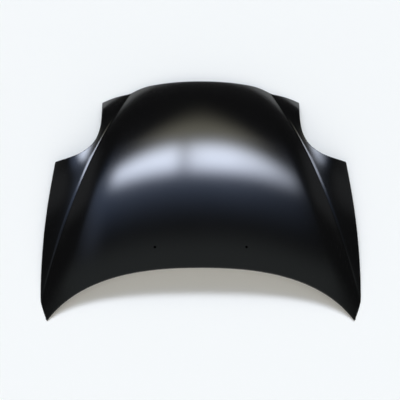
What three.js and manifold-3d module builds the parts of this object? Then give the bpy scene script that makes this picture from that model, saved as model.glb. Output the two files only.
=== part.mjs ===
// A pressed-steel car bonnet: a crowned outer skin hemmed round a ribbed inner panel, with hinge and striker
// reinforcements between them. Millimetres. X is across the car, +Y towards the nose and +Z up, with the
// bonnet lying as it rests on a floor, on its two rear tips and its two nose corners.
import * as THREE from "three";
import { mergeVertices } from "three/addons/utils/BufferGeometryUtils.js";
import Module from "manifold-3d";

const wasm = await Module();
wasm.setup();

// Overall size
const HALF_WIDTH = 686; // to the kink in the side, just forward of the rear tip
const LENGTH = 1122; // from the rear tips to the middle of the nose

// A place in the right half's plan: how far it is in from the side, and its Y or how far back from the nose
const fromSide = (inwards, y) => [HALF_WIDTH - inwards, y];
const fromNose = (inwards, back) => [HALF_WIDTH - inwards, LENGTH - back];

// Crowned surface: a centreline profile swept round a bowed nose, less the crown across the car
const REAR_HEIGHT = 108; // the profile's height abreast of the rear tips
const RISE = 0.152; // its slope there
const ROLL_START = 250; // where it starts to roll over, forward of the tips
const ROLL_DROP = 200; // how far the roll-over takes the nose down
const ROLL_POWER = 2.4;
const TUCK_START = 800; // where the leading edge tucks in more sharply
const TUCK_DROP = 25;
const PROFILE_END = 1110; // the length at which both drops are whole
const NOSE_BOW_RADIUS = 1470; // radius in plan of the bow that the profile is swept round
const CROWN_HALF = HALF_WIDTH + 14; // half width at which the crown has fallen by CROWN_DROP
const CROWN_DROP = 150;
const CROWN_POWER = 2.35;

// Style line: a valley along each side of the raised centre, from the nose to the side edge near the tip
const LINE_REAR = HALF_WIDTH + 14; // its distance from the centreline abreast of the tips
const LINE_SLOPE = 0.213; // how it closes in there
const LINE_BEND_RADIUS = 3900; // radius in plan of its bend
const LINE_DEPTH = 10;
const LINE_INNER_WIDTH = 100; // the raised centre falls to the line over this width
const FLANK_LIFT = 0.1; // the flank's slope away from the line, against the crown's
const FLANK_WIDTH = 130; // the width over which that slope fades
const LINE_FILLET = 1.2; // how softly the two sides meet
const LINE_FADE_START = 60;
const LINE_FADE_LENGTH = 300; // the line fades out over this length towards the tips
const LINE_FADE_POWER = 0.8;
const NOSE_EASE = 0.8; // the share of its depth that the line loses towards the nose
const NOSE_EASE_START = 800;
const NOSE_EASE_LENGTH = 320;
const LEDGE = 1.5; // height of the narrow pressed edge along the outside of the line
const LEDGE_MIDDLE = 4; // how far out it lies
const LEDGE_HALF = 3.5;
const LINE_FLARE = 0.03; // the flank's slope up to the headlamp cut-out, at the line, abreast of FLARE_CENTRE
const FLARE = 0.3; // what the middle of the flare's width adds to that slope
const FLARE_WIDTH = 160;
const FLARE_CENTRE = 830;
const FLARE_REACH = 140;

// Plan outline, right half. Each edge is one cubic curve between two of these places, shaped by two pulls.
const REAR_CENTRE = [0, 196];
const TIP = fromSide(34, 0);
const SIDE_KINK = fromSide(0, 90);
const HEADLAMP_OUTER = fromSide(30, 717);
const NOSE_CORNER = fromNose(225, 91);
const NOSE_VALLEY = fromNose(346, 59); // where the style line starts
const NOSE_SHOULDER = fromNose(450, 17);
const NOSE_CENTRE = [0, LENGTH];
const REAR_PULLS = [[192, 196], fromSide(184, 183)];
const TIP_PULLS = [fromSide(20, 28), fromSide(6, 62)];
const SIDE_PULLS = [fromSide(-10, 272), fromSide(3, 530)];
const HEADLAMP_PULLS = [fromSide(275, 728), fromNose(231, 214)];
const NOSE_OUTER_PULLS = [fromNose(265, 72), fromNose(295, 64)];
const NOSE_STEP_PULLS = [fromNose(368, 55), fromNose(396, 26)];
const NOSE_MIDDLE_PULLS = [[170, LENGTH - 6], [90, LENGTH]];

// Sheets and the hem that joins them
const SKIN = 0.8;
const INNER = 0.7;
const SEAM_GAP = 0.3; // clearance between sheets that lie on each other
const HEM_WIDTH = 12;
const INNER_EDGE_GAP = 0.8; // from the hem's bend to the inner panel's edge
const FLANGE_WIDTH = 22; // from the outline to the wall of the box section
const FLANGE_TOP = SKIN + SEAM_GAP;
const HEM_TOP = FLANGE_TOP + INNER + SEAM_GAP;
const HEM_BOTTOM = HEM_TOP + SKIN;

// Inner panel: a box section round the edge and ribs between six windows
const MASTIC = 3; // height of the mastic between a window's lip and the skin
const LIP_TOP = SKIN + MASTIC;
const LIP_WIDTH = 14;
const BANK_WIDTH = 12; // of the sloping wall from a lip down to the floor of the section round it
const WALL = 1;
const DEEP = 26; // depth of the box section below the skin's top
const SHALLOW = 8; // its least depth, by the edges
const FLOOR_CLEAR = 12; // the section rises to keep this height where the skin comes down to the edge
const WINDOW_RADIUS = 34;
const RIB_INNER = 0.34; // the ribs' two sides, as shares of the distance to the style line
const RIB_OUTER = 0.5;
const WINDOW_OUTER = 0.89;
const REAR_WINDOW = [340, 590];
const FRONT_WINDOW = [660, 885];

// Washer jets
const JET = [192, 284];
const JET_RADIUS = 5.5;

// Hinge seats, one in each rear corner of the inner panel
const HINGE = fromSide(126, 190);
const HINGE_SEAT = [52, 104]; // the flat seat's width and length
const HINGE_PLATE = 2;
const HINGE_BOLT_PITCH = 60;
const BOLT_HOLE_RADIUS = 4.5;
const NUT_ACROSS_FLATS = 13;
const NUT_HEIGHT = 6.5;
const NUT_BORE_RADIUS = 3.4;

// Striker seat, in the middle of the nose
const STRIKER = [0, LENGTH - 137];
const STRIKER_SEAT = [116, 60];
const STRIKER_TILT = -0.32; // radians about X
const STRIKER_PLATE = 2;
const STRIKER_BASE = [74, 38, 3];
const STRIKER_WIRE_RADIUS = 4;
const STRIKER_SPAN = 44; // between the wire's two legs
const STRIKER_REACH = 36; // from the base to the middle of the wire's crossbar
const STRIKER_BEND = 10; // the radius at which the wire turns from a leg to the crossbar

const SEAT_DEPTH = 4; // how far a seat's floor lies below the box section round it
const PLATE_EDGE_GAP = 1; // between a plate and the walls of its seat

// Mastic pads
const PAD = [34, 9];
const PAD_MARGIN = 0.3;

// Mesh fineness
const COLUMNS_OUTSIDE = 3; // between the style line and the grid's edge
const ROWS_REAR = 4; // between the grid's rear edge and the rear windows
const ROWS_NOSE = 4; // between the front windows and the grid's front edge
const GRID_MARGIN = 12; // the grid reaches this far beyond the outline's corners
const GRID_SIDE_MARGIN = 24;
const EDGE_STEPS = { rear: 8, tip: 2, side: 6, headlamp: 8, noseOuter: 2, noseStep: 4, noseMiddle: 4 };
const CORNER_STEPS = 3;
const WINDOW_SIDE_STEPS = 2;
const JET_SIDES = 12;
const HOLE_SIDES = 16;
const NUT_BORE_STEPS = 8;
const WIRE_STEPS = 26;
const WIRE_SECTION_STEPS = 5;
const CUT_REACH = REAR_HEIGHT + CROWN_DROP + ROLL_DROP; // cuts in plan reach this far above and below zero

const STEEL_BLACK = { color: 0x17181a, roughness: 0.38, metalness: 0.0 };
const MASTIC_GREY = { color: 0x3b3c3e, roughness: 0.85, metalness: 0.0 };

// The crowned surface

function styleLine(y) {
  return LINE_REAR - LINE_SLOPE * y - (y * y) / (2 * LINE_BEND_RADIUS);
}

function share(value, start, length) {
  return Math.max(0, (value - start) / length);
}

function lineRelief(x, y) {
  const out = Math.abs(x) - styleLine(y);
  const inner = -LINE_DEPTH * Math.max(0, 1 + out / LINE_INNER_WIDTH) ** 2;
  const outer = -LINE_DEPTH + FLANK_LIFT * out * (1 - out / (2 * FLANK_WIDTH));
  const valley = (inner + outer + Math.hypot(inner - outer, LINE_FILLET)) / 2;
  const fade = Math.min(1, share(y, LINE_FADE_START, LINE_FADE_LENGTH)) ** LINE_FADE_POWER;
  const ease = 1 - NOSE_EASE * share(y, NOSE_EASE_START, NOSE_EASE_LENGTH) ** 2;
  const ledge = (LEDGE / 2) * (1 + Math.tanh((out - LEDGE_MIDDLE) / LEDGE_HALF));
  const t = Math.min(1, share(out, 0, FLARE_WIDTH));
  const rise = LINE_FLARE * Math.max(0, out) + 4 * FLARE * FLARE_WIDTH * (t ** 2 / 2 - t ** 3 / 3);
  const flare = rise * Math.exp(-(((y - FLARE_CENTRE) / FLARE_REACH) ** 2));
  return (valley + ledge) * fade * ease + flare;
}

function surfaceHeight(x, y) {
  const along = y + (x * x) / (2 * NOSE_BOW_RADIUS);
  const roll = ROLL_DROP * share(along, ROLL_START, PROFILE_END - ROLL_START) ** ROLL_POWER;
  const tuck = TUCK_DROP * share(along, TUCK_START, PROFILE_END - TUCK_START) ** 2;
  const crown = CROWN_DROP * (Math.abs(x) / CROWN_HALF) ** CROWN_POWER;
  return REAR_HEIGHT + RISE * along - roll - tuck - crown + lineRelief(x, y);
}

// How deep the inner panel's box section lies below the skin's top
function boxDepth(x, y) {
  return THREE.MathUtils.clamp(surfaceHeight(x, y) - FLOOR_CLEAR, SHALLOW, DEEP);
}

// Solids for cutting and joining

function solidOf(geometry) {
  const bare = geometry.clone();
  bare.deleteAttribute("normal");
  bare.deleteAttribute("uv");
  const merged = mergeVertices(bare, 1e-3);
  return new wasm.Manifold(
    new wasm.Mesh({
      numProp: 3,
      vertProperties: new Float32Array(merged.attributes.position.array),
      triVerts: new Uint32Array(merged.index.array),
    }),
  );
}

function geometryOf(solid) {
  const mesh = solid.getMesh();
  const geometry = new THREE.BufferGeometry();
  geometry.setAttribute("position", new THREE.BufferAttribute(mesh.vertProperties, 3));
  geometry.setIndex(new THREE.BufferAttribute(mesh.triVerts, 1));
  geometry.computeVertexNormals();
  return geometry;
}

function joined(solids) {
  return solids.reduce((all, next) => all.add(next));
}

function spaced(from, to, steps) {
  return Array.from({ length: steps + 1 }, (_, k) => from + ((to - from) * k) / steps);
}

// The grid's outer edge draws in abreast of the headlamp
function gridEdge(y) {
  const past = (y - HEADLAMP_OUTER[1]) / (FRONT_WINDOW[1] - HEADLAMP_OUTER[1]);
  const [wide, narrow] = [SIDE_KINK[0], NOSE_CORNER[0]].map((x) => x + GRID_SIDE_MARGIN);
  return THREE.MathUtils.lerp(wide, narrow, THREE.MathUtils.clamp(past, 0, 1));
}

// The right half's grid columns at one y, by distance from the centreline: they follow the windows' sides
function columnsAt(y) {
  const line = styleLine(y);
  const bank = LIP_WIDTH + BANK_WIDTH;
  const columns = [
    ...[RIB_INNER / 2, RIB_INNER, RIB_OUTER].map((k) => k * line),
    ...[(RIB_OUTER + WINDOW_OUTER) / 2, WINDOW_OUTER].map((k) => k * line),
    ...[LIP_WIDTH, bank].map((out) => RIB_INNER * line + out),
    ...[LIP_WIDTH, bank].map((out) => RIB_OUTER * line - out),
    ...[LIP_WIDTH, bank].map((out) => WINDOW_OUTER * line + out),
    ...spaced(line, gridEdge(y), COLUMNS_OUTSIDE),
  ].sort((a, b) => a - b);
  return [...columns.map((x) => -x).reverse(), 0, ...columns];
}

function gridRows() {
  const bank = LIP_WIDTH + BANK_WIDTH;
  const beside = ([low, high]) => [low - bank, low - LIP_WIDTH, low, high, high + LIP_WIDTH, high + bank];
  const rows = [
    ...spaced(-GRID_MARGIN, REAR_WINDOW[0] - bank, ROWS_REAR),
    ...[REAR_WINDOW, FRONT_WINDOW].flatMap(beside),
    ...[REAR_WINDOW, FRONT_WINDOW].map(([low, high]) => (low + high) / 2),
    ...spaced(FRONT_WINDOW[1] + bank, LENGTH + GRID_MARGIN, ROWS_NOSE),
  ];
  return [...new Set(rows)].sort((a, b) => a - b);
}

// A sheet that follows the crowned surface, between two depths below it, each a number or a function of x
// and y. Both faces share one pattern of triangles, mirrored about the centreline, so it is equally thick.
function sheet(top, bottom) {
  const grid = gridRows().map((y) => columnsAt(y).map((x) => [x, y]));
  const rows = grid.length;
  const columns = grid[0].length;
  const face = (depth) => grid.flat().flatMap(([x, y]) => {
    return [x, y, surfaceHeight(x, y) - (typeof depth === "function" ? depth(x, y) : depth)];
  });
  const under = rows * columns;
  const index = [];
  const quad = (a, b, c, d) => index.push(a, b, c, a, c, d);
  for (let row = 0; row < rows - 1; row++) {
    for (let column = 0; column < columns - 1; column++) {
      const a = row * columns + column;
      const corners = [a, a + 1, a + 1 + columns, a + columns];
      if (column < (columns - 1) / 2) corners.push(corners.shift());
      quad(...corners);
      const [p, q, r, t] = corners.map((corner) => corner + under);
      quad(p, t, r, q);
    }
  }
  for (let column = 0; column < columns - 1; column++) {
    const far = under - columns + column;
    quad(column + under, column + 1 + under, column + 1, column);
    quad(far, far + 1, far + 1 + under, far + under);
  }
  for (let row = 0; row < rows - 1; row++) {
    const left = row * columns;
    const right = left + columns - 1;
    quad(left, left + columns, left + columns + under, left + under);
    quad(right + under, right + columns + under, right + columns, right);
  }
  const geometry = new THREE.BufferGeometry();
  geometry.setAttribute("position", new THREE.Float32BufferAttribute([...face(top), ...face(bottom)], 3));
  geometry.setIndex(index);
  return solidOf(geometry);
}

// A tall prism over a plan outline, with holes
function prism(outline, holes = []) {
  const shape = new THREE.Shape(outline);
  shape.holes = holes.map((hole) => new THREE.Path(hole));
  const geometry = new THREE.ExtrudeGeometry(shape, { depth: 2 * CUT_REACH, bevelEnabled: false });
  return solidOf(geometry.translate(0, 0, -CUT_REACH));
}

// The plan outline

function edge(start, pulls, end, steps) {
  const [a, b, c, d] = [start, ...pulls, end].map(([x, y]) => new THREE.Vector2(x, y));
  return new THREE.CubicBezierCurve(a, b, c, d).getSpacedPoints(steps).slice(0, -1);
}

// From the middle of the rear edge, round the right side, to the middle of the nose
function rightHalf() {
  return [
    ...edge(REAR_CENTRE, REAR_PULLS, TIP, EDGE_STEPS.rear),
    ...edge(TIP, TIP_PULLS, SIDE_KINK, EDGE_STEPS.tip),
    ...edge(SIDE_KINK, SIDE_PULLS, HEADLAMP_OUTER, EDGE_STEPS.side),
    ...edge(HEADLAMP_OUTER, HEADLAMP_PULLS, NOSE_CORNER, EDGE_STEPS.headlamp),
    ...edge(NOSE_CORNER, NOSE_OUTER_PULLS, NOSE_VALLEY, EDGE_STEPS.noseOuter),
    ...edge(NOSE_VALLEY, NOSE_STEP_PULLS, NOSE_SHOULDER, EDGE_STEPS.noseStep),
    ...edge(NOSE_SHOULDER, NOSE_MIDDLE_PULLS, NOSE_CENTRE, EDGE_STEPS.noseMiddle),
    new THREE.Vector2(...NOSE_CENTRE),
  ];
}

function outline() {
  const right = rightHalf();
  const left = right.slice(1, -1).reverse();
  return [...right, ...left.map((p) => new THREE.Vector2(-p.x, p.y))];
}

// An anticlockwise outline with every side moved inwards by a distance, its corners mitred
function inset(points, distance) {
  const normals = points.map((p, i) => {
    const along = points[(i + 1) % points.length].clone().sub(p).normalize();
    return new THREE.Vector2(-along.y, along.x);
  });
  return points.map((p, i) => {
    const before = normals[(i + points.length - 1) % points.length];
    const mitre = before.clone().add(normals[i]);
    return mitre.multiplyScalar(distance / (1 + before.dot(normals[i]))).add(p);
  });
}

function ring(points, from, to) {
  const outer = from > 0 ? inset(points, from) : points;
  return prism(outer, [inset(points, to)]);
}

// Windows

const WINDOWS = [
  { name: "rear_centre", across: [-RIB_INNER, RIB_INNER], along: REAR_WINDOW },
  { name: "front_centre", across: [-RIB_INNER, RIB_INNER], along: FRONT_WINDOW },
  { name: "rear_right", across: [RIB_OUTER, WINDOW_OUTER], along: REAR_WINDOW },
  { name: "front_right", across: [RIB_OUTER, WINDOW_OUTER], along: FRONT_WINDOW },
  { name: "rear_left", across: [-WINDOW_OUTER, -RIB_OUTER], along: REAR_WINDOW },
  { name: "front_left", across: [-WINDOW_OUTER, -RIB_OUTER], along: FRONT_WINDOW },
];

// A window's rounded outline. Its sides fan out with the style lines.
function windowOutline({ across, along: [low, high] }) {
  const radius = WINDOW_RADIUS;
  const corners = [
    { end: 1, y: low + radius, from: -Math.PI / 2 },
    { end: 1, y: high - radius, from: 0 },
    { end: 0, y: high - radius, from: Math.PI / 2 },
    { end: 0, y: low + radius, from: Math.PI },
  ];
  const points = [];
  corners.forEach(({ end, y, from }, i) => {
    for (const angle of spaced(from, from + Math.PI / 2, CORNER_STEPS)) {
      const py = y + radius * Math.sin(angle);
      const inward = end ? -radius : radius;
      points.push(new THREE.Vector2(across[end] * styleLine(py) + inward + radius * Math.cos(angle), py));
    }
    const next = corners[(i + 1) % corners.length];
    if (next.end !== end) return;
    for (const py of spaced(y, next.y, WINDOW_SIDE_STEPS).slice(1, -1)) {
      points.push(new THREE.Vector2(across[end] * styleLine(py), py));
    }
  });
  return points;
}

// Flat seats

// A seat's frame: its origin on the underside of the seat's floor, with +Z out of the panel's top
function seatFrame(x, y, tiltX, tiltY) {
  const height = surfaceHeight(x, y) - boxDepth(x, y) - INNER - SEAT_DEPTH;
  const frame = new THREE.Group();
  frame.position.set(x, y, height);
  frame.rotation.set(tiltX, tiltY, 0);
  frame.updateMatrix();
  return frame.matrix;
}

function hingeFrame(side) {
  const [x, y] = HINGE;
  const [reachX, reachY] = HINGE_SEAT.map((size) => size / 2);
  const slopeX = (surfaceHeight(x + reachX, y) - surfaceHeight(x - reachX, y)) / (2 * reachX);
  const slopeY = (surfaceHeight(x, y + reachY) - surfaceHeight(x, y - reachY)) / (2 * reachY);
  return seatFrame(side * x, y, Math.atan(slopeY), -side * Math.atan(slopeX));
}

function strikerFrame() {
  return seatFrame(...STRIKER, STRIKER_TILT, 0);
}

// A box on a seat's frame, from one height to another
function seatBox(frame, width, length, from, to) {
  const geometry = new THREE.BoxGeometry(width, length, to - from);
  return solidOf(geometry.translate(0, 0, (from + to) / 2).applyMatrix4(frame));
}

// A round hole through a seat, or through what lies on it
function seatHole(frame, y, radius) {
  const geometry = new THREE.CylinderGeometry(radius, radius, 4 * DEEP, HOLE_SIDES);
  return solidOf(geometry.rotateX(Math.PI / 2).translate(0, y, 0).applyMatrix4(frame));
}

// The sheet-metal tray that makes a seat, and the space inside it
function seatTray(frame, [width, length]) {
  const top = SEAT_DEPTH + DEEP / 2;
  const outside = seatBox(frame, width, length, 0, top);
  const inside = seatBox(frame, width - 2 * WALL, length - 2 * WALL, INNER, top + WALL);
  return { outside, inside };
}

function boltPlaces() {
  return [-HINGE_BOLT_PITCH / 2, HINGE_BOLT_PITCH / 2];
}

// The pieces

// A vertical hole for a washer jet
function jetHole(side) {
  const geometry = new THREE.CylinderGeometry(JET_RADIUS, JET_RADIUS, 2 * CUT_REACH, JET_SIDES);
  return solidOf(geometry.rotateX(Math.PI / 2).translate(side * JET[0], JET[1], 0));
}

// The skin is cut from one thick shell: the slot in its hem first, then all that lies inside the hem
function outerSkin(plan) {
  const shell = sheet(0, HEM_BOTTOM).intersect(prism(plan));
  const slot = sheet(SKIN, HEM_TOP).intersect(prism(inset(plan, SKIN)));
  const inside = sheet(HEM_TOP - SEAM_GAP, HEM_BOTTOM + SKIN).intersect(prism(inset(plan, HEM_WIDTH)));
  return shell.subtract(joined([slot, inside, jetHole(-1), jetHole(1)]));
}

// How far a place lies outside a window, by its nearest side
function beyondWindow({ across, along }, x, y) {
  const line = styleLine(y);
  return Math.max(across[0] * line - x, x - across[1] * line, along[0] - y, y - along[1]);
}

// The depth of the panel's field: its windows' lips are high, and a bank falls from each to the box section
function fieldDepth(x, y) {
  const beyond = Math.min(...WINDOWS.map((w) => beyondWindow(w, x, y)));
  const fall = THREE.MathUtils.clamp((beyond - LIP_WIDTH) / BANK_WIDTH, 0, 1);
  return THREE.MathUtils.lerp(LIP_TOP, boxDepth(x, y), fall);
}

// The wall round the field starts and ends within the thickness of the sheets that it joins
function innerPanel(plan) {
  const inWall = WALL / 2;
  const inSheet = INNER / 2;
  const field = (x, y) => fieldDepth(x, y) + INNER;
  const foot = (x, y) => fieldDepth(x, y) + inSheet;
  const openings = WINDOWS.map((w) => windowOutline(w));
  const flange = sheet(FLANGE_TOP, FLANGE_TOP + INNER).intersect(
    ring(plan, SKIN + INNER_EDGE_GAP, FLANGE_WIDTH + inWall),
  );
  const wall = sheet(FLANGE_TOP + inSheet, foot).intersect(ring(plan, FLANGE_WIDTH, FLANGE_WIDTH + WALL));
  const middle = sheet(fieldDepth, field).intersect(prism(inset(plan, FLANGE_WIDTH + inWall), openings));
  let panel = joined([flange, wall, middle]);
  const seats = [
    { frame: hingeFrame(1), size: HINGE_SEAT, holes: boltPlaces() },
    { frame: hingeFrame(-1), size: HINGE_SEAT, holes: boltPlaces() },
    { frame: strikerFrame(), size: STRIKER_SEAT, holes: [] },
  ];
  for (const { frame, size, holes } of seats) {
    const { outside, inside } = seatTray(frame, size);
    const below = seatBox(frame, ...size, -SEAT_DEPTH, 0);
    panel = panel.subtract(below).add(outside.intersect(sheet(foot, 3 * DEEP))).subtract(inside);
    for (const y of holes) panel = panel.subtract(seatHole(frame, y, BOLT_HOLE_RADIUS));
  }
  return panel;
}

// A plate that lies in a seat
function seatPlate(frame, [width, length], thickness) {
  const gap = 2 * (WALL + PLATE_EDGE_GAP);
  const bottom = INNER + SEAM_GAP;
  return seatBox(frame, width - gap, length - gap, bottom, bottom + thickness);
}

function hingeReinforcement(side) {
  const frame = hingeFrame(side);
  const holes = boltPlaces().map((y) => seatHole(frame, y, BOLT_HOLE_RADIUS));
  return seatPlate(frame, HINGE_SEAT, HINGE_PLATE).subtract(joined(holes));
}

function hingeNut(side, y) {
  const corner = NUT_ACROSS_FLATS / 2 / Math.cos(Math.PI / 6);
  const hexagon = new THREE.Shape();
  for (let k = 0; k < 6; k++) {
    const angle = (k * Math.PI) / 3;
    hexagon[k ? "lineTo" : "moveTo"](corner * Math.cos(angle), corner * Math.sin(angle));
  }
  hexagon.holes.push(new THREE.Path().absarc(0, 0, NUT_BORE_RADIUS, 0, 2 * Math.PI, true));
  const options = { depth: NUT_HEIGHT, bevelEnabled: false, curveSegments: NUT_BORE_STEPS };
  const bottom = INNER + SEAM_GAP + HINGE_PLATE + SEAM_GAP;
  const geometry = new THREE.ExtrudeGeometry(hexagon, options).translate(0, y, bottom);
  return solidOf(geometry.applyMatrix4(hingeFrame(side)));
}

function strikerReinforcement() {
  return seatPlate(strikerFrame(), STRIKER_SEAT, STRIKER_PLATE);
}

function strikerBase() {
  const [width, length, thickness] = STRIKER_BASE;
  return seatBox(strikerFrame(), width, length, -SEAM_GAP - thickness, -SEAM_GAP);
}

// A round wire bent to a loop, its ends on the striker's base
function strikerLoop() {
  const top = -SEAM_GAP - STRIKER_BASE[2] - SEAM_GAP;
  const bar = top - STRIKER_REACH;
  const half = STRIKER_SPAN / 2;
  const point = (x, z) => new THREE.Vector3(x, 0, z);
  const legEnd = (side) => point(side * half, bar + STRIKER_BEND);
  const corner = (side) => point(side * half, bar);
  const barEnd = (side) => point(side * (half - STRIKER_BEND), bar);
  const path = new THREE.CurvePath();
  path.add(new THREE.LineCurve3(point(-half, top), legEnd(-1)));
  path.add(new THREE.QuadraticBezierCurve3(legEnd(-1), corner(-1), barEnd(-1)));
  path.add(new THREE.LineCurve3(barEnd(-1), barEnd(1)));
  path.add(new THREE.QuadraticBezierCurve3(barEnd(1), corner(1), legEnd(1)));
  path.add(new THREE.LineCurve3(legEnd(1), point(half, top)));
  const section = new THREE.Shape().absarc(0, 0, STRIKER_WIRE_RADIUS, 0, 2 * Math.PI);
  const options = {
    steps: WIRE_STEPS,
    curveSegments: WIRE_SECTION_STEPS,
    bevelEnabled: false,
    extrudePath: path,
  };
  return solidOf(new THREE.ExtrudeGeometry(section, options).applyMatrix4(strikerFrame()));
}

// Where the mastic pads lie: on the middle of each window's front and rear lips, and on its long sides
function padPlaces() {
  const places = [];
  for (const { across, along } of WINDOWS) {
    const middle = (across[0] + across[1]) / 2;
    for (const y of [along[0] - LIP_WIDTH / 2, along[1] + LIP_WIDTH / 2]) {
      places.push({ x: middle * styleLine(y), y, turned: false });
    }
    const y = (along[0] + along[1]) / 2;
    const centred = middle === 0;
    for (const end of [0, 1]) {
      const outer = Math.abs(across[end]) > Math.abs(across[1 - end]);
      if (!centred && !outer) continue;
      places.push({ x: across[end] * styleLine(y) + (end ? 0.5 : -0.5) * LIP_WIDTH, y, turned: true });
    }
  }
  return places;
}

function masticPad({ x, y, turned }) {
  const [length, width] = PAD;
  const slope = -(styleLine(y + 1) - styleLine(y)) * (x / styleLine(y));
  const angle = turned ? Math.PI / 2 + Math.atan(slope) : 0;
  const points = [];
  for (const end of [1, -1]) {
    for (let k = 0; k <= CORNER_STEPS; k++) {
      const turn = -Math.PI / 2 + (k / CORNER_STEPS) * Math.PI;
      const px = end * (length / 2 - width / 2 + (width / 2) * Math.cos(turn));
      const point = new THREE.Vector2(px, end * (width / 2) * Math.sin(turn));
      points.push(point.rotateAround(new THREE.Vector2(), angle).add(new THREE.Vector2(x, y)));
    }
  }
  return sheet(SKIN + PAD_MARGIN, LIP_TOP - PAD_MARGIN).intersect(prism(points));
}

// The assembly

const bonnet = new THREE.Group();

function addPiece(name, solid, look) {
  const mesh = new THREE.Mesh(geometryOf(solid), new THREE.MeshStandardMaterial(look));
  mesh.name = name;
  bonnet.add(mesh);
}

const plan = outline();
addPiece("outer_skin", outerSkin(plan), STEEL_BLACK);
addPiece("inner_panel", innerPanel(plan), STEEL_BLACK);
for (const [name, side] of [["left", -1], ["right", 1]]) {
  addPiece(`hinge_reinforcement_${name}`, hingeReinforcement(side), STEEL_BLACK);
  boltPlaces().forEach((y, i) => {
    addPiece(`hinge_nut_${name}_${["rear", "front"][i]}`, hingeNut(side, y), STEEL_BLACK);
  });
}
addPiece("striker_reinforcement", strikerReinforcement(), STEEL_BLACK);
addPiece("striker_base", strikerBase(), STEEL_BLACK);
addPiece("striker_loop", strikerLoop(), STEEL_BLACK);
padPlaces().forEach((place, i) => {
  addPiece(`mastic_pad_${String(i + 1).padStart(2, "0")}`, masticPad(place), MASTIC_GREY);
});

// The part's own origin is the middle of the bonnet's footprint, at the floor that it lies on
const box = new THREE.Box3().setFromObject(bonnet);
bonnet.position.set(0, -(box.min.y + box.max.y) / 2, -box.min.z);

export default bonnet;
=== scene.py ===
import math

import bmesh
import bpy
from bpy.props import FloatProperty, FloatVectorProperty, IntProperty, PointerProperty
from mathutils import Matrix, Vector, kdtree, noise
from mathutils.geometry import interpolate_bezier


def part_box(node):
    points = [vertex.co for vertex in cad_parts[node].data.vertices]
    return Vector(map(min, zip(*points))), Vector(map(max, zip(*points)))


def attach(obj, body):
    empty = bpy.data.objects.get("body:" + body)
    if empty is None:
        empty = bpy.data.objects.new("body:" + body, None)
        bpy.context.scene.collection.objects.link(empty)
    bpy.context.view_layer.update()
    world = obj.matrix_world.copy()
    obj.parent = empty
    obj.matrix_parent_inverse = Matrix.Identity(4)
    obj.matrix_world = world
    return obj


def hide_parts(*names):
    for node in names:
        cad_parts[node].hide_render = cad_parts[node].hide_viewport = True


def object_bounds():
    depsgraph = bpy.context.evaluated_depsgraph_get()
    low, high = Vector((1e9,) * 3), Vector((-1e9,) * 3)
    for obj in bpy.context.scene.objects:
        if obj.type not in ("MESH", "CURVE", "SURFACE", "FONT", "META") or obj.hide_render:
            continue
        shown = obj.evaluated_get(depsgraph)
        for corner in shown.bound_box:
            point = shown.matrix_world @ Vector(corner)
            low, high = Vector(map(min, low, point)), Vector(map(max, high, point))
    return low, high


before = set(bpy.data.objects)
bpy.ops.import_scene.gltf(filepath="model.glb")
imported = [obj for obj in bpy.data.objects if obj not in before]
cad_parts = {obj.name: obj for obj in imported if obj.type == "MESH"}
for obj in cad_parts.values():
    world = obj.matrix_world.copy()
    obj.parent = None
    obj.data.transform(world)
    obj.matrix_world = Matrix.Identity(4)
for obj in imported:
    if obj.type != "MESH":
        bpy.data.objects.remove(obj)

bl_info = {
    "name": "Car Bonnet",
    "version": (1, 0, 0),
    "blender": (4, 5, 0),
    "location": "View3D > Sidebar > Bonnet",
    "description": "Builds a pressed-steel car bonnet in black dip primer round its solid model",
    "category": "Object",
}

CAD_BOX = [list(corner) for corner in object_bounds()]
BODY = "root"
MM = 0.001

# The model is worked out in millimetres, with Y measured from the rear tips. These two put it in the frame.
FRAME_Y = CAD_BOX[0][1] / MM
OUTLINE_LENGTH = 1122.0
FLOOR_CLEARANCE = 2.05  # of the surface's own zero height above the floor

# Crowned surface: a centreline profile swept round a bowed nose, less the crown across the car
REAR_HEIGHT = 108.0
RISE = 0.152
ROLL_START = 250.0
ROLL_DROP = 200.0
ROLL_POWER = 2.4
TUCK_START = 800.0
TUCK_DROP = 25.0
PROFILE_END = 1110.0
NOSE_BOW_RADIUS = 1470.0
CROWN_HALF = 700.0
CROWN_DROP = 150.0
CROWN_POWER = 2.35

# Style line: a valley along each side of the raised centre
LINE_REAR = 700.0
LINE_SLOPE = 0.213
LINE_BEND_RADIUS = 3900.0
LINE_DEPTH = 10.0
LINE_INNER_WIDTH = 100.0
FLANK_LIFT = 0.1
FLANK_WIDTH = 130.0
LINE_FILLET = 1.2
LINE_FADE_START = 60.0
LINE_FADE_LENGTH = 300.0
LINE_FADE_POWER = 0.8
NOSE_EASE = 0.8  # of the relief that is gone at the end of its fade towards the nose
NOSE_EASE_START = 800.0
NOSE_EASE_LENGTH = 320.0
LINE_FLARE = 0.03  # the flank's slope up to the headlamp cut-out, at the line
FLARE = 0.3  # what the middle of its width adds
FLARE_WIDTH = 160.0
FLARE_CENTRE = 830.0
FLARE_REACH = 140.0
LEDGE = 1.5  # height of the narrow pressed edge along the outside of the line
LEDGE_MIDDLE = 4.0
LEDGE_HALF = 3.5

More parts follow.
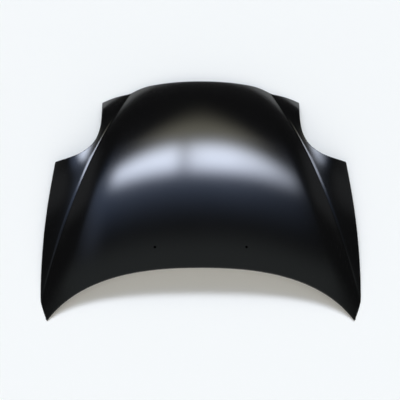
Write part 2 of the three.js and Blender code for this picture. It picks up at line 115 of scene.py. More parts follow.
# Plan outline, right half, as cubic curves from the middle of the rear edge round to the middle of the nose
REAR_CENTRE = 196.0
TIP = (652.0, 0.0)
SIDE_KINK = (686.0, 90.0)
HEADLAMP_OUTER = (656.0, 717.0)
NOSE_CORNER = (461.0, 1031.0)
NOSE_VALLEY = (340.0, 1063.0)
NOSE_SHOULDER = (236.0, 1105.0)
REAR_CURVE = ((0.0, REAR_CENTRE), (192.0, REAR_CENTRE), (502.0, 183.0), TIP)
TIP_CURVE = (TIP, (666.0, 28.0), (680.0, 62.0), SIDE_KINK)
SIDE_CURVE = (SIDE_KINK, (696.0, 272.0), (683.0, 530.0), HEADLAMP_OUTER)
HEADLAMP_CURVE = (HEADLAMP_OUTER, (411.0, 728.0), (455.0, 908.0), NOSE_CORNER)
NOSE_OUTER_CURVE = (NOSE_CORNER, (421.0, 1050.0), (391.0, 1058.0), NOSE_VALLEY)
NOSE_STEP_CURVE = (NOSE_VALLEY, (318.0, 1067.0), (290.0, 1096.0), NOSE_SHOULDER)
NOSE_MIDDLE_CURVE = (NOSE_SHOULDER, (170.0, 1116.0), (90.0, OUTLINE_LENGTH), (0.0, OUTLINE_LENGTH))
CURVE_STEPS = 400

# The grid over the plan: where the side's corners fall, as shares of its rows, and how its lines crowd
KINK_ROW = 0.09
HEADLAMP_ROW = 0.55
END_FADE = 4  # the power with which the two end curves' forms fade into the rows
LINE_COLUMN = 0.78  # the share of a half's columns that lies inside the style line
LINE_LIMIT = 0.97  # of the half width, so that the outermost columns never close up
LINE_ROUNDS = 12  # in which a row finds its crossing with the style line
INNER_CROWDING = 1.3
OUTER_CROWDING = 1.2
LEAST_MITRE = 0.35  # keeps the inward step of a sharp corner short

# Inner panel: a box section round the edge and ribs between six windows, its depths below the skin's top
FLANGE_TOP = 1.1
FLANGE_WIDTH = 22.0
WALL_RUN = 13.0
LIP_TOP = 3.8
LIP_WIDTH = 14.0
BANK_WIDTH = 13.0
DEEP = 26.0
SHALLOW = 8.0
FLOOR_CLEAR = 12.0
INNER = 0.7  # its thickness
WINDOW_RADIUS = 34.0
WINDOW_SNAP = 0.4  # of a column's width, within which a vertex moves onto a window's outline
RIM_SNAP = 4  # times as far, for the vertices on the rim of a cut window
SNAP_ROUNDS = 3
PROBE = 0.5  # half of the step over which the slope of a distance is taken
LEAST_SLOPE = 0.1
RIB_INNER = 0.34  # the ribs' two sides, as shares of the distance to the style line
RIB_OUTER = 0.5
WINDOW_OUTER = 0.89
REAR_WINDOW = (340.0, 590.0)
FRONT_WINDOW = (660.0, 885.0)
WINDOWS = [
    (across, along)
    for across in ((-RIB_INNER, RIB_INNER), (RIB_OUTER, WINDOW_OUTER), (-WINDOW_OUTER, -RIB_OUTER))
    for along in (REAR_WINDOW, FRONT_WINDOW)
]

# Washer jets, seats and what lies in them
JETS = ((-192.0, 284.0), (192.0, 284.0))
HINGE = (560.0, 190.0)
HINGE_SEAT = (52.0, 104.0)
HINGE_BOLTS = (-30.0, 30.0)
BOLT_HOLE_RADIUS = 4.5
HINGE_PLATE = 2.0
STRIKER = (0.0, 985.0)
STRIKER_SEAT = (116.0, 60.0)
STRIKER_TILT = -0.32
STRIKER_PLATE = 2.0
SEAT_DEPTH = 4.0
SEAT_ROUND = 8.0  # radius of a seat's corners
SEAT_BANK = 9.0
PLATE_MARGIN = 4.0  # a plate is this much smaller than its seat
SHEET_GAP = 0.3

# Beads pressed into the box section: middle, length across, width, and height
BEADS = [
    (side * x, y, length, width, height)
    for side in (-1, 1)
    for x, y, length, width, height in (
        (168.0, 944.0, 96.0, 13.0, 4.0), (96.0, 625.0, 120.0, 11.0, 4.0), (300.0, 625.0, 90.0, 11.0, 4.0),
        (366.0, 268.0, 110.0, 13.0, 4.5), (66.0, 285.0, 96.0, 13.0, 4.5),
    )
]

# Camera, from the photograph
PHOTO_ELEVATION = 70.0
PHOTO_DISTANCE = 3500.0
PHOTO_TARGET = (0.0, 525.4, 60.0)
PHOTO_SIZE = 400
PHOTO_FOCAL_PIXELS = 795.45
PHOTO_CENTRE_X = 200.7
SENSOR_WIDTH = 36.0


# The crowned surface


def style_line(y):
    return LINE_REAR - LINE_SLOPE * y - y * y / (2 * LINE_BEND_RADIUS)


def share(value, start, length):
    return max(0.0, (value - start) / length)


def line_relief(x, y):
    out = abs(x) - style_line(y)
    inner = -LINE_DEPTH * max(0.0, 1 + out / LINE_INNER_WIDTH) ** 2
    outer = -LINE_DEPTH + FLANK_LIFT * out * (1 - out / (2 * FLANK_WIDTH))
    valley = (inner + outer + math.hypot(inner - outer, LINE_FILLET)) / 2
    fade = min(1.0, share(y, LINE_FADE_START, LINE_FADE_LENGTH)) ** LINE_FADE_POWER
    ease = 1 - NOSE_EASE * share(y, NOSE_EASE_START, NOSE_EASE_LENGTH) ** 2
    t = min(1.0, share(out, 0.0, FLARE_WIDTH))
    flare = LINE_FLARE * max(0.0, out) + 4 * FLARE * FLARE_WIDTH * (t * t / 2 - t ** 3 / 3)
    flare *= math.exp(-((y - FLARE_CENTRE) / FLARE_REACH) ** 2)
    ledge = LEDGE / 2 * (1 + math.tanh((out - LEDGE_MIDDLE) / LEDGE_HALF))
    return (valley + ledge) * fade * ease + flare


def surface_height(x, y):
    along = y + x * x / (2 * NOSE_BOW_RADIUS)
    roll = ROLL_DROP * share(along, ROLL_START, PROFILE_END - ROLL_START) ** ROLL_POWER
    tuck = TUCK_DROP * share(along, TUCK_START, PROFILE_END - TUCK_START) ** 2
    crown = CROWN_DROP * (abs(x) / CROWN_HALF) ** CROWN_POWER
    return REAR_HEIGHT + RISE * along - roll - tuck - crown + line_relief(x, y)


def placed(x, y, depth):
    """A point a depth below the surface, in metres in the frame."""
    return Vector((x, y + FRAME_Y, surface_height(x, y) + FLOOR_CLEARANCE - depth)) * MM


# The plan outline


def curve_points(curve, steps=CURVE_STEPS):
    ends = [Vector((*point, 0.0)) for point in curve]
    return [Vector((p.x, p.y)) for p in interpolate_bezier(*ends, steps + 1)]


REAR_POINTS = curve_points(REAR_CURVE)
NOSE_CURVES = (NOSE_OUTER_CURVE, NOSE_STEP_CURVE, NOSE_MIDDLE_CURVE)
NOSE_POINTS = [p for curve in NOSE_CURVES for p in curve_points(curve)][::-1]


def height_along(points, x):
    """The y of a curve that runs outwards from the centreline, at an x."""
    low, high = 0, len(points) - 1
    while high - low > 1:
        middle = (low + high) // 2
        if points[middle].x <= x:
            low = middle
        else:
            high = middle
    a, b = points[low], points[high]
    t = (x - a.x) / (b.x - a.x) if b.x > a.x else 0.0
    return a.y + (b.y - a.y) * min(1.0, max(0.0, t))


class Walk:
    """A curve's points by their share of its length."""

    def __init__(self, curve):
        self.points = curve_points(curve)
        self.lengths = [0.0]
        for a, b in zip(self.points, self.points[1:]):
            self.lengths.append(self.lengths[-1] + (b - a).length)

    def at(self, t):
        want = min(1.0, max(0.0, t)) * self.lengths[-1]
        k = next((i for i, done in enumerate(self.lengths[1:]) if done >= want), len(self.points) - 2)
        step = self.lengths[k + 1] - self.lengths[k]
        return self.points[k].lerp(self.points[k + 1], (want - self.lengths[k]) / step)


TIP_WALK, SIDE_WALK, HEADLAMP_WALK = Walk(TIP_CURVE), Walk(SIDE_CURVE), Walk(HEADLAMP_CURVE)


def side_point(v):
    """The side edge at a share of the rows: tip, kink, headlamp corner, cut-out, nose corner."""
    if v < KINK_ROW:
        return TIP_WALK.at(v / KINK_ROW)
    if v < HEADLAMP_ROW:
        return SIDE_WALK.at((v - KINK_ROW) / (HEADLAMP_ROW - KINK_ROW))
    return HEADLAMP_WALK.at((v - HEADLAMP_ROW) / (1 - HEADLAMP_ROW))


class Row:
    """One row of a grid over the bonnet's plan, which the outline bounds."""

    def __init__(self, v):
        self.v = v
        self.side = side_point(v)
        self.centre = REAR_CENTRE + v * (OUTLINE_LENGTH - REAR_CENTRE)
        self.line = LINE_LIMIT
        for _ in range(LINE_ROUNDS):
            self.line = min(LINE_LIMIT, style_line(self.plan(self.line)[1]) / self.side.x)

    def plan(self, u):
        """The point at a signed share of the half width."""
        a = abs(u)
        bow = a * a
        rear = height_along(REAR_POINTS, a * TIP[0]) - (1 - bow) * REAR_CENTRE
        nose = height_along(NOSE_POINTS, a * NOSE_CORNER[0])
        nose -= OUTLINE_LENGTH + bow * (NOSE_CORNER[1] - OUTLINE_LENGTH)
        y = self.centre + bow * (self.side.y - self.centre)
        return u * self.side.x, y + (1 - self.v) ** END_FADE * rear + self.v ** END_FADE * nose

    def spread(self, t):
        """A column's signed share of the half width. Columns crowd on both sides of the style line."""
        a = abs(t)
        if a < LINE_COLUMN:
            u = self.line * (1 - (1 - a / LINE_COLUMN) ** INNER_CROWDING)
        else:
            u = self.line + (1 - self.line) * ((a - LINE_COLUMN) / (1 - LINE_COLUMN)) ** OUTER_CROWDING
        return math.copysign(u, t)


def plan_grid(bm, columns, rows):
    """A flat grid over the outline, with X and Y in millimetres."""
    bmesh.ops.create_grid(bm, x_segments=columns, y_segments=rows, size=1.0)
    made = [Row(k / rows) for k in range(rows + 1)]
    for vert in bm.verts:
        row = made[round((vert.co.y + 1) / 2 * rows)]
        x, y = row.plan(row.spread(vert.co.x))
        vert.co = (x, y, 0.0)


def rim_of(bm):
    """The outer boundary's vertices in order, anticlockwise."""
    first = max((e for e in bm.edges if e.is_boundary), key=lambda e: e.verts[0].co.length)
    rim = [first.verts[0], first.verts[1]]
    while True:
        edge = next(e for e in rim[-1].link_edges if e.is_boundary and rim[-2] not in e.verts)
        after = edge.other_vert(rim[-1])
        if after is rim[0]:
            break
        rim.append(after)
    area = sum(a.co.x * b.co.y - b.co.x * a.co.y for a, b in zip(rim, rim[1:] + rim[:1]))
    return rim if area > 0 else rim[::-1]


def inward(points):
    """Each point's step inwards, so that a ring moves by one millimetre with its corners mitred."""
    steps = []
    count = len(points)
    for i, p in enumerate(points):
        before = (p - points[i - 1]).normalized()
        after = (points[(i + 1) % count] - p).normalized()
        a, b = Vector((-before.y, before.x)), Vector((-after.y, after.x))
        steps.append((a + b) / max(LEAST_MITRE, 1 + a.dot(b)))
    return steps


def crisp_ends(bm):
    """Keeps the shading of a sheet's faces clear of its cut edges."""
    for edge in bm.edges:
        edge.smooth = not edge.is_boundary


def add_ring(bm, ring, positions):
    """Extrudes a closed ring of vertices to new places, and returns the new ring in the same order."""
    edges = [bm.edges.get((a, b)) for a, b in zip(ring, ring[1:] + ring[:1])]
    made = bmesh.ops.extrude_edge_only(bm, edges=edges)["geom"]
    new = {g for g in made if isinstance(g, bmesh.types.BMVert)}
    after = []
    for vert, place in zip(ring, positions):
        twin = next(e.other_vert(vert) for e in vert.link_edges if e.other_vert(vert) in new)
        after.append((twin, place))
    for twin, place in after:
        twin.co = place
    return [twin for twin, _ in after]


# The inner panel's form


def smooth_step(t):
    t = min(1.0, max(0.0, t))
    return t * t * (3 - 2 * t)


def box_depth(x, y):
    return min(DEEP, max(SHALLOW, surface_height(x, y) - FLOOR_CLEAR))


def rounded_distance(dx, dy, radius):
    """The distance outside a rounded corner, from the distances outside its two sides."""
    a, b = dx + radius, dy + radius
    return math.hypot(max(a, 0.0), max(b, 0.0)) + min(max(a, b), 0.0) - radius


def window_distance(x, y):
    """How far a place lies outside the nearest window. Negative inside it."""
    line = style_line(y)
    return min(
        rounded_distance(max(a * line - x, x - b * line), max(low - y, y - high), WINDOW_RADIUS)
        for (a, b), (low, high) in WINDOWS
    )


def seat_frame(x, y, tilt_x, tilt_y):
    """A seat's own axes, in millimetres, from the middle of the underside of its floor."""
    height = surface_height(x, y) - box_depth(x, y) - INNER - SEAT_DEPTH
    turn = Matrix.Rotation(tilt_x, 4, "X") @ Matrix.Rotation(tilt_y, 4, "Y")
    return Matrix.Translation((x, y, height)) @ turn


def hinge_frame(side):
    x, y = HINGE
    a, b = HINGE_SEAT[0] / 2, HINGE_SEAT[1] / 2
    slope_x = (surface_height(x + a, y) - surface_height(x - a, y)) / (2 * a)
    slope_y = (surface_height(x, y + b) - surface_height(x, y - b)) / (2 * b)
    return seat_frame(side * x, y, math.atan(slope_y), -side * math.atan(slope_x))


STRIKER_FRAME = seat_frame(*STRIKER, STRIKER_TILT, 0.0)
SEATS = [(hinge_frame(-1), HINGE_SEAT), (hinge_frame(1), HINGE_SEAT), (STRIKER_FRAME, STRIKER_SEAT)]


def pressed_height(height, x, y):
    """The panel's height after its flat seats are pressed into it."""
    for seat, (width, length) in SEATS:
        up = seat.to_3x3() @ Vector((0.0, 0.0, 1.0))
        start = seat @ Vector((0.0, 0.0, INNER))
        flat = start.z - (up.x * (x - start.x) + up.y * (y - start.y)) / up.z
        local = seat.inverted() @ Vector((x, y, flat))
        outside = rounded_distance(abs(local.x) - width / 2, abs(local.y) - length / 2, SEAT_ROUND)
        height += (flat - height) * (1 - smooth_step(outside / SEAT_BANK))
    return height


def bead_height(x, y):
    total = 0.0
    for bx, by, length, width, height in BEADS:
        along = max(0.0, abs(x - bx) - (length - width) / 2)
        total += height * (1 - smooth_step(math.hypot(along, y - by) / width))
    return total


def panel_height(x, y, from_edge):
    """The height of the inner panel's upper face, at a distance inside the outline."""
    bank = smooth_step((window_distance(x, y) - LIP_WIDTH) / BANK_WIDTH)
    field = LIP_TOP + (box_depth(x, y) - LIP_TOP - bead_height(x, y)) * bank
    wall = smooth_step((from_edge - FLANGE_WIDTH) / WALL_RUN)
    depth = FLANGE_TOP + (field - FLANGE_TOP) * wall
    return pressed_height(surface_height(x, y) - depth, x, y)


def onto_window(vert):
    """Slides a vertex onto the nearest window's outline."""
    for _ in range(SNAP_ROUNDS):
        x, y = vert.co.x, vert.co.y
        away = window_distance(x, y)
        slope = Vector((window_distance(x + PROBE, y) - window_distance(x - PROBE, y),
                        window_distance(x, y + PROBE) - window_distance(x, y - PROBE), 0.0))
        if slope.length > LEAST_SLOPE:
            vert.co -= slope * (away / slope.length_squared)


def cut_windows(bm, reach):
    """Cuts the windows. Vertices within reach of an outline move onto it first."""
    for vert in bm.verts:
        if abs(window_distance(vert.co.x, vert.co.y)) < reach:
            onto_window(vert)
    inside = [f for f in bm.faces if window_distance(*f.calc_center_median().xy) < 0]
    bmesh.ops.delete(bm, geom=inside, context="FACES")
    for vert in bm.verts:
        if vert.is_boundary and window_distance(vert.co.x, vert.co.y) < RIM_SNAP * reach:
            onto_window(vert)


# Plates and fasteners


TO_FRAME = Matrix.Scale(MM, 4) @ Matrix.Translation((0.0, FRAME_Y, FLOOR_CLEARANCE))
CORNER_STEPS = 6
HOLE_STEPS = 32
BORE_STEPS = 36
SHARP_ANGLE = 1.0  # radians
PLATE_EDGE = 0.4  # the eased edges of a sheared plate
FORGED_EDGE = 0.7  # and of a nut or the striker's base


def add_rectangle(bm, width, length, radius):
    """Adds the outline of a rectangle with rounded corners."""
    made = bmesh.ops.create_grid(bm, x_segments=1, y_segments=1, size=0.5)["verts"]
    bmesh.ops.scale(bm, vec=(width, length, 1.0), verts=made)
    bmesh.ops.bevel(bm, geom=made, offset=radius, offset_type="OFFSET", segments=CORNER_STEPS, profile=0.5,
                    affect="VERTICES", material=-1)
    bmesh.ops.delete(bm, geom=bm.faces[:], context="FACES_ONLY")


def raise_plate(bm, bottom, top, edge):
    """Fills the outlines on a flat bmesh and makes a plate of them, with eased edges."""
    bmesh.ops.triangle_fill(bm, use_beauty=True, use_dissolve=False, edges=bm.edges[:])
    bmesh.ops.translate(bm, vec=(0.0, 0.0, bottom), verts=bm.verts[:])
    made = bmesh.ops.extrude_face_region(bm, geom=bm.faces[:])["geom"]
    lifted = [g for g in made if isinstance(g, bmesh.types.BMVert)]
    bmesh.ops.translate(bm, vec=(0.0, 0.0, top - bottom), verts=lifted)
    bmesh.ops.recalc_face_normals(bm, faces=bm.faces[:])
    sharp = [e for e in bm.edges if e.calc_face_angle(0.0) > SHARP_ANGLE]
    bmesh.ops.bevel(bm, geom=sharp, offset=edge, offset_type="OFFSET", segments=2, profile=0.5,
                    affect="EDGES", material=-1)


def finish_on_seat(name, bm, seat, node):
    """Moves a piece from its seat's axes to its place, where it stands for a solid."""
    bmesh.ops.transform(bm, matrix=TO_FRAME @ seat, verts=bm.verts[:])
    piece = finish_piece(name, bm, dip_primer(), smooth=False)
    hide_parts(node)
    return piece


def finish_piece(name, bm, material, smooth=True):
    """Makes a bmesh into a piece of the bonnet that rides with its body."""
    mesh = bpy.data.meshes.new(name)
    bm.to_mesh(mesh)
    bm.free()
    piece = bpy.data.objects.new(name, mesh)
    bpy.context.scene.collection.objects.link(piece)
    mesh.materials.append(material)
    for polygon in mesh.polygons:
        polygon.use_smooth = smooth
    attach(piece, BODY)
    return piece


# Colours and materials


def to_linear(colour):
    """A six-digit sRGB hex colour as linear red, green, blue and alpha."""
    values = [int(colour[i:i + 2], 16) / 255 for i in (0, 2, 4)]
    return tuple(v / 12.92 if v <= 0.04045 else ((v + 0.055) / 1.055) ** 2.4 for v in values) + (1.0,)


def add_node(tree, kind, settings=None, links=None):
    """Adds a node, with settings by attribute or by a socket's name or number, and links into its sockets."""
    node = tree.nodes.new(kind)
    for name, value in (settings or {}).items():
        if isinstance(name, int) or name in node.inputs:
            node.inputs[name].default_value = value
        else:
            setattr(node, name, value)
    for name, source in (links or {}).items():
        tree.links.new(source, node.inputs[name])
    return node


def new_material(name):
    material = bpy.data.materials.new(name)
    material.use_nodes = True
    material.node_tree.nodes.clear()
    return material


def dip_primer():
    """Cathodic dip primer on pressed steel: a thin black epoxy film, satin, with a faint orange peel."""
    made = bpy.data.materials.get("cathodic_dip_primer")
    if made:
        return made
    material = new_material("cathodic_dip_primer")
    tree = material.node_tree
    place = add_node(tree, "ShaderNodeTexCoord").outputs["Object"]
    peel = add_node(tree, "ShaderNodeTexNoise", {"Scale": 420.0, "Detail": 2.0}, {"Vector": place})
    bump = add_node(
        tree, "ShaderNodeBump", {"Strength": 0.04, "Distance": 0.0002}, {"Height": peel.outputs["Fac"]}
    )
    haze = add_node(tree, "ShaderNodeTexNoise", {"Scale": 5.0, "Detail": 4.0}, {"Vector": place})
    rough = add_node(
        tree, "ShaderNodeMapRange", {"To Min": 0.13, "To Max": 0.16}, {"Value": haze.outputs["Fac"]}
    )
    shader = add_node(
        tree, "ShaderNodeBsdfPrincipled", {"Base Color": to_linear("060606"), "IOR": 1.68},
        {"Normal": bump.outputs["Normal"], "Roughness": rough.outputs["Result"]},
    )
    add_node(tree, "ShaderNodeOutputMaterial", links={"Surface": shader.outputs["BSDF"]})
    return material


def mastic_rubber():
    """Anti-flutter mastic: a soft, matt, dark grey bead of butyl rubber."""
    made = bpy.data.materials.get("butyl_mastic")
    if made:
        return made
    material = new_material("butyl_mastic")
    tree = material.node_tree
    place = add_node(tree, "ShaderNodeTexCoord").outputs["Object"]
    lumps = add_node(tree, "ShaderNodeTexNoise", {"Scale": 260.0, "Detail": 4.0}, {"Vector": place})
    bump = add_node(
        tree, "ShaderNodeBump", {"Strength": 0.4, "Distance": 0.0006}, {"Height": lumps.outputs["Fac"]}
    )
    shader = add_node(
        tree, "ShaderNodeBsdfPrincipled", {"Base Color": to_linear("3b3c3e"), "Roughness": 0.8},
        {"Normal": bump.outputs["Normal"]},
    )
    add_node(tree, "ShaderNodeOutputMaterial", links={"Surface": shader.outputs["BSDF"]})
    return material


# Settings


class BonnetSkinSettings(bpy.types.PropertyGroup):
    columns: IntProperty(name="Columns", description="Grid columns across the skin", default=180, min=20)
    rows: IntProperty(name="Rows", description="Grid rows along the skin", default=170, min=20)
    thickness: FloatProperty(
        name="Sheet", description="Thickness of the skin", default=0.0008, unit="LENGTH", precision=5
    )
    hem: FloatProperty(name="Hem", description="Width of the folded hem", default=0.012, unit="LENGTH")
    jet: FloatProperty(
        name="Jet hole", description="Radius of a washer-jet hole", default=0.0055, unit="LENGTH", precision=4
    )


class BonnetPanelSettings(bpy.types.PropertyGroup):
    columns: IntProperty(name="Columns", description="Grid columns across the panel", default=150, min=20)
    rows: IntProperty(name="Rows", description="Grid rows along the panel", default=130, min=20)
    edge_gap: FloatProperty(
        name="Edge gap", description="From the outline to the panel's edge", default=0.0016, unit="LENGTH",
        precision=4,
    )


class BonnetFastenerSettings(bpy.types.PropertyGroup):
    nut_across_flats: FloatProperty(
        name="Nut", description="Width of a weld nut across its flats", default=0.013, unit="LENGTH"
    )
    nut_height: FloatProperty(
        name="Nut height", description="Height of a weld nut", default=0.0065, unit="LENGTH"
    )
    nut_bore: FloatProperty(name="Bore", description="Radius of a nut's bore", default=0.0034, unit="LENGTH")
    wire: FloatProperty(name="Wire", description="Radius of the striker's wire", default=0.004, unit="LENGTH")
    striker_span: FloatProperty(
        name="Span", description="Distance between the striker's two legs", default=0.044, unit="LENGTH"
    )
    striker_reach: FloatProperty(
        name="Reach", description="From the base to the middle of the crossbar", default=0.036, unit="LENGTH"
    )
    striker_bend: FloatProperty(
        name="Bend", description="Radius at which the wire turns to the crossbar", default=0.01, unit="LENGTH"
    )
    striker_base: FloatVectorProperty(
        name="Base", description="Size of the striker's base", default=(0.074, 0.038, 0.003), unit="LENGTH"
    )


class BonnetMasticSettings(bpy.types.PropertyGroup):
    length: FloatProperty(name="Length", description="Length of a bead", default=0.034, unit="LENGTH")
    width: FloatProperty(name="Width", description="Width of a bead", default=0.0095, unit="LENGTH")
    thickness: FloatProperty(
        name="Thickness", description="Thickness of a bead", default=0.0029, unit="LENGTH", precision=4
    )
    depth: FloatProperty(
        name="Depth", description="Middle of a bead below the skin's top", default=0.0023, unit="LENGTH",
        precision=4,
    )


# Operators


HEM_HALF = 1.45  # half of the hem's full thickness, which is the radius of its bend
HEM_STEPS = 6
HOLE_PULL = 36.0  # vertices within this distance of a round hole give way to it
EDGE_POINTS = 4  # on each step of the outline, for the distance to it


def open_round_hole(bm, centre, radius):
    """Opens a round hole in the grid, after its nearest vertices are drawn to the hole's centre."""
    middle = Vector((*centre, 0.0))
    near = [v for v in bm.verts if (v.co - middle).length < HOLE_PULL]
    hub = min(near, key=lambda v: (v.co - middle).length)
    shift = middle - hub.co
    for vert in near:
        fall = (1 - ((vert.co - middle).length / HOLE_PULL) ** 2) ** 2 if vert is not hub else 1.0
        vert.co += shift * fall
    bmesh.ops.delete(bm, geom=[hub], context="VERTS")
    bmesh.ops.subdivide_edges(bm, edges=hole_edges(bm, middle), cuts=1)
    for vert in {v for e in hole_edges(bm, middle) for v in e.verts}:
        vert.co = middle + (vert.co - middle).normalized() * radius


def hole_edges(bm, middle):
    return [e for e in bm.edges if e.is_boundary and (e.verts[0].co - middle).length < HOLE_PULL]


class BONNET_OT_outer_skin(bpy.types.Operator):
    """Builds the outer skin with its hem and washer-jet holes"""

    bl_idname = "bonnet.outer_skin"
    bl_label = "Outer Skin"

    def execute(self, context):
        sizes = context.scene.bonnet_skin
        bm = bmesh.new()
        plan_grid(bm, sizes.columns, sizes.rows)
        for centre in JETS:
            open_round_hole(bm, centre, sizes.jet / MM)
        rim = rim_of(bm)
        outline = [v.co.xy for v in rim]
        steps = inward(outline)
        for vert, p, step in zip(rim, outline, steps):
            vert.co = (*(p + step * HEM_HALF), 0.0)
        for vert in bm.verts:
            vert.co = placed(vert.co.x, vert.co.y, 0.0)
        ring = rim
        for k in range(1, HEM_STEPS + 1):
            turn = math.pi / 2 - k * math.pi / HEM_STEPS
            offset, depth = HEM_HALF * (1 - math.cos(turn)), HEM_HALF * (1 - math.sin(turn))
            ring = add_ring(bm, ring, [placed(*(p + s * offset), depth) for p, s in zip(outline, steps)])
        depth = 2 * HEM_HALF
        for reach in (0.5, 1.0):
            offset = HEM_HALF + reach * (sizes.hem / MM - HEM_HALF)
            ring = add_ring(bm, ring, [placed(*(p + s * offset), depth) for p, s in zip(outline, steps)])
        bmesh.ops.recalc_face_normals(bm, faces=bm.faces[:])
        if max(bm.faces, key=lambda f: f.calc_center_median().z).normal.z < 0:
            bmesh.ops.reverse_faces(bm, faces=bm.faces[:])
        crisp_ends(bm)
        piece = finish_piece("skin_pressing", bm, dip_primer())
        shell = piece.modifiers.new("Sheet", "SOLIDIFY")
        shell.thickness = sizes.thickness
        shell.offset = -1.0
        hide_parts("outer_skin")
        return {"FINISHED"}


class BONNET_OT_inner_panel(bpy.types.Operator):
    """Builds the pressed inner panel with its windows, seats and beads"""

    bl_idname = "bonnet.inner_panel"
    bl_label = "Inner Panel"

    def execute(self, context):
        sizes = context.scene.bonnet_panel
        bm = bmesh.new()
        plan_grid(bm, sizes.columns, sizes.rows)
        cut_windows(bm, WINDOW_SNAP * 2 * SIDE_KINK[0] / sizes.columns)
        for side in (-1, 1):
            for y in HINGE_BOLTS:
                bolt = hinge_frame(side) @ Vector((0.0, y, INNER))
                open_round_hole(bm, (bolt.x, bolt.y), BOLT_HOLE_RADIUS)
        rim = rim_of(bm)
        outline = [v.co.xy for v in rim]
        edge = kdtree.KDTree(len(outline) * EDGE_POINTS)
        for i, (a, b) in enumerate(zip(outline, outline[1:] + outline[:1])):
            for k in range(EDGE_POINTS):
                edge.insert((*a.lerp(b, k / EDGE_POINTS), 0.0), EDGE_POINTS * i + k)
        edge.balance()
        for vert, p, step in zip(rim, outline, inward(outline)):
            vert.co = (*(p + step * sizes.edge_gap / MM), 0.0)
        for vert in bm.verts:
            from_edge = edge.find(vert.co)[2]
            vert.co.z = panel_height(vert.co.x, vert.co.y, from_edge)
        bmesh.ops.transform(bm, matrix=TO_FRAME, verts=bm.verts[:])
        bmesh.ops.recalc_face_normals(bm, faces=bm.faces[:])
        if max(bm.faces, key=lambda f: f.calc_center_median().z).normal.z < 0:
            bmesh.ops.reverse_faces(bm, faces=bm.faces[:])
        crisp_ends(bm)
        piece = finish_piece("inner_pressing", bm, dip_primer())
        shell = piece.modifiers.new("Sheet", "SOLIDIFY")
        shell.thickness = INNER * MM
        shell.offset = -1.0
        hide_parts("inner_panel")
        return {"FINISHED"}


class BONNET_OT_hinge_plates(bpy.types.Operator):
    """Builds the hinge reinforcements and their weld nuts"""

    bl_idname = "bonnet.hinge_plates"
    bl_label = "Hinge Plates and Nuts"

    def execute(self, context):
        sizes = context.scene.bonnet_fasteners
        bottom = INNER + SHEET_GAP
        top = bottom + HINGE_PLATE
        for name, side in (("left", -1), ("right", 1)):
            seat = hinge_frame(side)
            bm = bmesh.new()
            add_rectangle(bm, HINGE_SEAT[0] - PLATE_MARGIN, HINGE_SEAT[1] - PLATE_MARGIN, SEAT_ROUND)
            for y in HINGE_BOLTS:
                place = Matrix.Translation((0.0, y, 0.0))
                bmesh.ops.create_circle(bm, segments=HOLE_STEPS, radius=BOLT_HOLE_RADIUS, matrix=place)
            raise_plate(bm, bottom, top, PLATE_EDGE)
            finish_on_seat("hinge_plate_" + name, bm, seat, "hinge_reinforcement_" + name)
            for end, y in zip(("rear", "front"), HINGE_BOLTS):
                bm = bmesh.new()
                corner = sizes.nut_across_flats / MM / math.sqrt(3)
                bmesh.ops.create_circle(bm, segments=6, radius=corner)
                bmesh.ops.create_circle(bm, segments=BORE_STEPS, radius=sizes.nut_bore / MM)
                raise_plate(bm, top + SHEET_GAP, top + SHEET_GAP + sizes.nut_height / MM, FORGED_EDGE)
                bmesh.ops.translate(bm, vec=(0.0, y, 0.0), verts=bm.verts[:])
                finish_on_seat(f"weld_nut_{name}_{end}", bm, seat, f"hinge_nut_{name}_{end}")
        return {"FINISHED"}


STRIKER_TOP = -SHEET_GAP  # the base's upper face, below the seat's floor
STRIKER_ROUND = 7.0  # radius of the base's corners
WIRE_STEPS = 24
BEND_STEPS = 10
WELD_STEPS = 32
# A weld bead's half section, from the wire's side and the base's underside
WELD_OUTLINE = ((0.0, -2.9), (0.5, -1.9), (1.5, -0.9), (2.5, -0.3), (2.7, 0.0), (0.0, 0.0))


def extend_ring(bm, ring, vec):
    """Extrudes a ring of edges along a line, and returns the new ring."""
    made = bmesh.ops.extrude_edge_only(bm, edges=ring)["geom"]
    new = {g for g in made if isinstance(g, bmesh.types.BMVert)}
    bmesh.ops.translate(bm, vec=vec, verts=list(new))
    return [g for g in made if isinstance(g, bmesh.types.BMEdge) and set(g.verts) <= new]


def bend_ring(bm, ring, centre):
    """Spins a ring of edges a quarter turn about a line along the bonnet, and returns the last ring."""
    made = bmesh.ops.spin(bm, geom=ring, cent=centre, axis=(0.0, 1.0, 0.0), angle=-math.pi / 2,
                          steps=BEND_STEPS)
    return [g for g in made["geom_last"] if isinstance(g, bmesh.types.BMEdge)]


